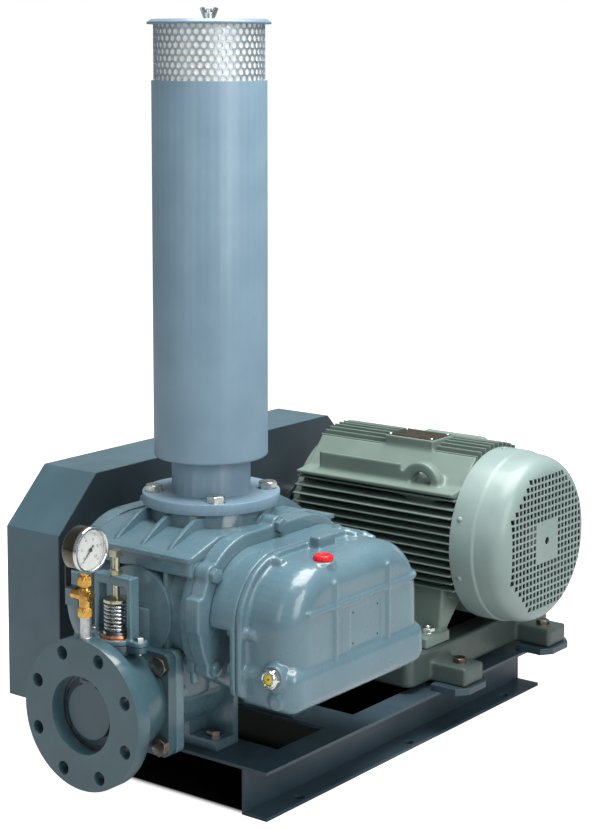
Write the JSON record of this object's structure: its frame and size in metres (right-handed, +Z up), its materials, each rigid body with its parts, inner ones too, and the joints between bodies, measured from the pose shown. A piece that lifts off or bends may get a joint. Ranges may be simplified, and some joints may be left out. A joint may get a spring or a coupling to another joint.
{
  "type": "air blower",
  "caption": "Three-lobe air blower with intake silencer, check and relief valves, gauge, belt guard and electric motor on a steel channel base.",
  "frame": {"origin": "centre of the anchor-hole pattern, on the floor under the base", "axes": "+X from the blower to the motor, +Y to the belt guard, +Z up; the discharge flange faces -X"},
  "size_m": [0.998, 0.603, 1.1172],
  "materials": {
    "base_paint": "semi-gloss paint",
    "bed_paint": "satin paint on cast iron",
    "motor_paint": "satin paint",
    "fan_cover_paint": "satin paint on pressed sheet",
    "blower_paint": "gloss enamel on cast iron",
    "guard_paint": "semi-gloss paint on sheet",
    "silencer_paint": "semi-gloss paint on pipe",
    "cap_paint": "semi-gloss paint",
    "zinc": "zinc plated",
    "yellow_zinc": "zinc plated, yellow passivated",
    "zinc_sheet": "perforated zinc plated sheet",
    "bare_steel": "turned",
    "shaft_steel": "ground",
    "gear_steel": "hardened",
    "bearing_steel": "polished",
    "winding_steel": "laminated steel and varnished copper",
    "sheave_iron": "turned",
    "seat_steel": "turned, dark",
    "flap_iron": "painted casting",
    "spring_steel": "bright zinc plated wire",
    "chrome": "polished",
    "brass": "bare brass",
    "copper_seat": "bare copper alloy",
    "belt_rubber": "matt",
    "seal_rubber": "matt",
    "fan_plastic": "moulded",
    "red_plastic": "moulded",
    "black_plastic": "dipped",
    "gauge_case": "dark chrome",
    "dial_white": "white enamel",
    "needle_black": "black",
    "glass": "clear",
    "filter_foam": "white fleece"
  },
  "bodies": {
    "blower_package": {"base_beams": "base_paint", "base_cross_plates": "base_paint", "bed_support_plates": "base_paint", "guard_brackets": "base_paint", "motor_bed": "bed_paint", "bed_bolts": "zinc", "motor_frame": "motor_paint", "motor_end_shields": "motor_paint", "motor_stator": "winding_steel", "fan_cover": "fan_cover_paint", "terminal_box": "motor_paint", "foot_bolts": "zinc", "v_belts": "belt_rubber", "guard_back_plate": "guard_paint", "guard_cover": "guard_paint", "blower_casing": "blower_paint", "front_side_plate": "blower_paint", "rear_side_plate": "blower_paint", "casing_bolts": "blower_paint", "ball_bearings": "bearing_steel", "shaft_seals": "seal_rubber", "bearing_housing": "blower_paint", "gear_cover": "blower_paint", "rear_bearing_cover": "blower_paint", "oil_filler_plug": "red_plastic", "oil_sight_glass": "chrome", "drain_plug": "blower_paint", "discharge_fitting": "blower_paint", "discharge_bolts": "bare_steel", "check_seat": "seat_steel", "seat_retaining_ring": "seat_steel", "check_hinge_pin": "shaft_steel", "relief_yoke": "blower_paint", "relief_seat": "copper_seat", "relief_spring": "spring_steel", "relief_adjusting_screw": "yellow_zinc", "gauge_cock": "brass", "gauge_case": "gauge_case", "gauge_dial": "dial_white", "gauge_glass": "glass", "suction_flange": "silencer_paint", "suction_bolts": "zinc", "silencer_shell": "silencer_paint", "intake_screen": "zinc_sheet", "filter_element": "filter_foam", "intake_cap": "cap_paint", "tie_rod": "bare_steel"},
    "drive_line": {"drive_rotor": "shaft_steel", "drive_timing_gear": "gear_steel", "blower_sheave": "sheave_iron"},
    "driven_line": {"driven_rotor": "shaft_steel", "driven_timing_gear": "gear_steel"},
    "motor_line": {"motor_rotor": "shaft_steel", "cooling_fan": "fan_plastic", "motor_sheave": "sheave_iron"},
    "valve_flap": {"check_flap": "flap_iron"},
    "relief_valve": {"relief_disc": "shaft_steel"},
    "cock_handle": {"cock_lever": "black_plastic"},
    "gauge_pointer": {"gauge_needle": "needle_black"},
    "top_nut": {"wing_nut": "zinc"}
  },
  "joints": [
    {"name": "drive_rotor_spin", "type": "hinge", "parent": "blower_package", "child": "drive_line", "pos_m": [-0.1985, 0, 0.28], "axis": [0, 1, 0], "continuous": true},
    {"name": "driven_rotor_spin", "type": "hinge", "parent": "blower_package", "child": "driven_line", "pos_m": [-0.3235, 0, 0.28], "axis": [0, 1, 0], "continuous": true},
    {"name": "motor_spin", "type": "hinge", "parent": "blower_package", "child": "motor_line", "pos_m": [0.2295, 0, 0.289], "axis": [0, 1, 0], "continuous": true},
    {"name": "check_flap_swing", "type": "hinge", "parent": "blower_package", "child": "valve_flap", "pos_m": [-0.5155, 0, 0.203], "axis": [0, 1, 0], "range_deg": [0, 60]},
    {"name": "relief_lift", "type": "slide", "parent": "blower_package", "child": "relief_valve", "axis": [0, 0, 1], "range_m": [0, 0.006], "stiffness_N_per_m": 6000, "springref_m": -0.005, "deforming": ["relief_spring"]},
    {"name": "cock_lever_turn", "type": "hinge", "parent": "blower_package", "child": "cock_handle", "pos_m": [-0.525, 0.016, 0.323], "axis": [0, -1, 0], "range_deg": [0, 90]},
    {"name": "gauge_needle_turn", "type": "hinge", "parent": "blower_package", "child": "gauge_pointer", "pos_m": [-0.525, -0.01, 0.388], "axis": [0, 1, 0], "range_deg": [0, 270], "stiffness_Nm_per_rad": 0.0008},
    {"name": "wing_nut_turn", "type": "hinge", "parent": "blower_package", "child": "top_nut", "pos_m": [-0.261, 0, 1.105], "axis": [0, 0, 1], "continuous": true}
  ],
  "couplings": [
    {"joint": "driven_rotor_spin", "follows": "drive_rotor_spin", "ratio": -1},
    {"joint": "motor_spin", "follows": "drive_rotor_spin", "ratio": 1.2}
  ]
}
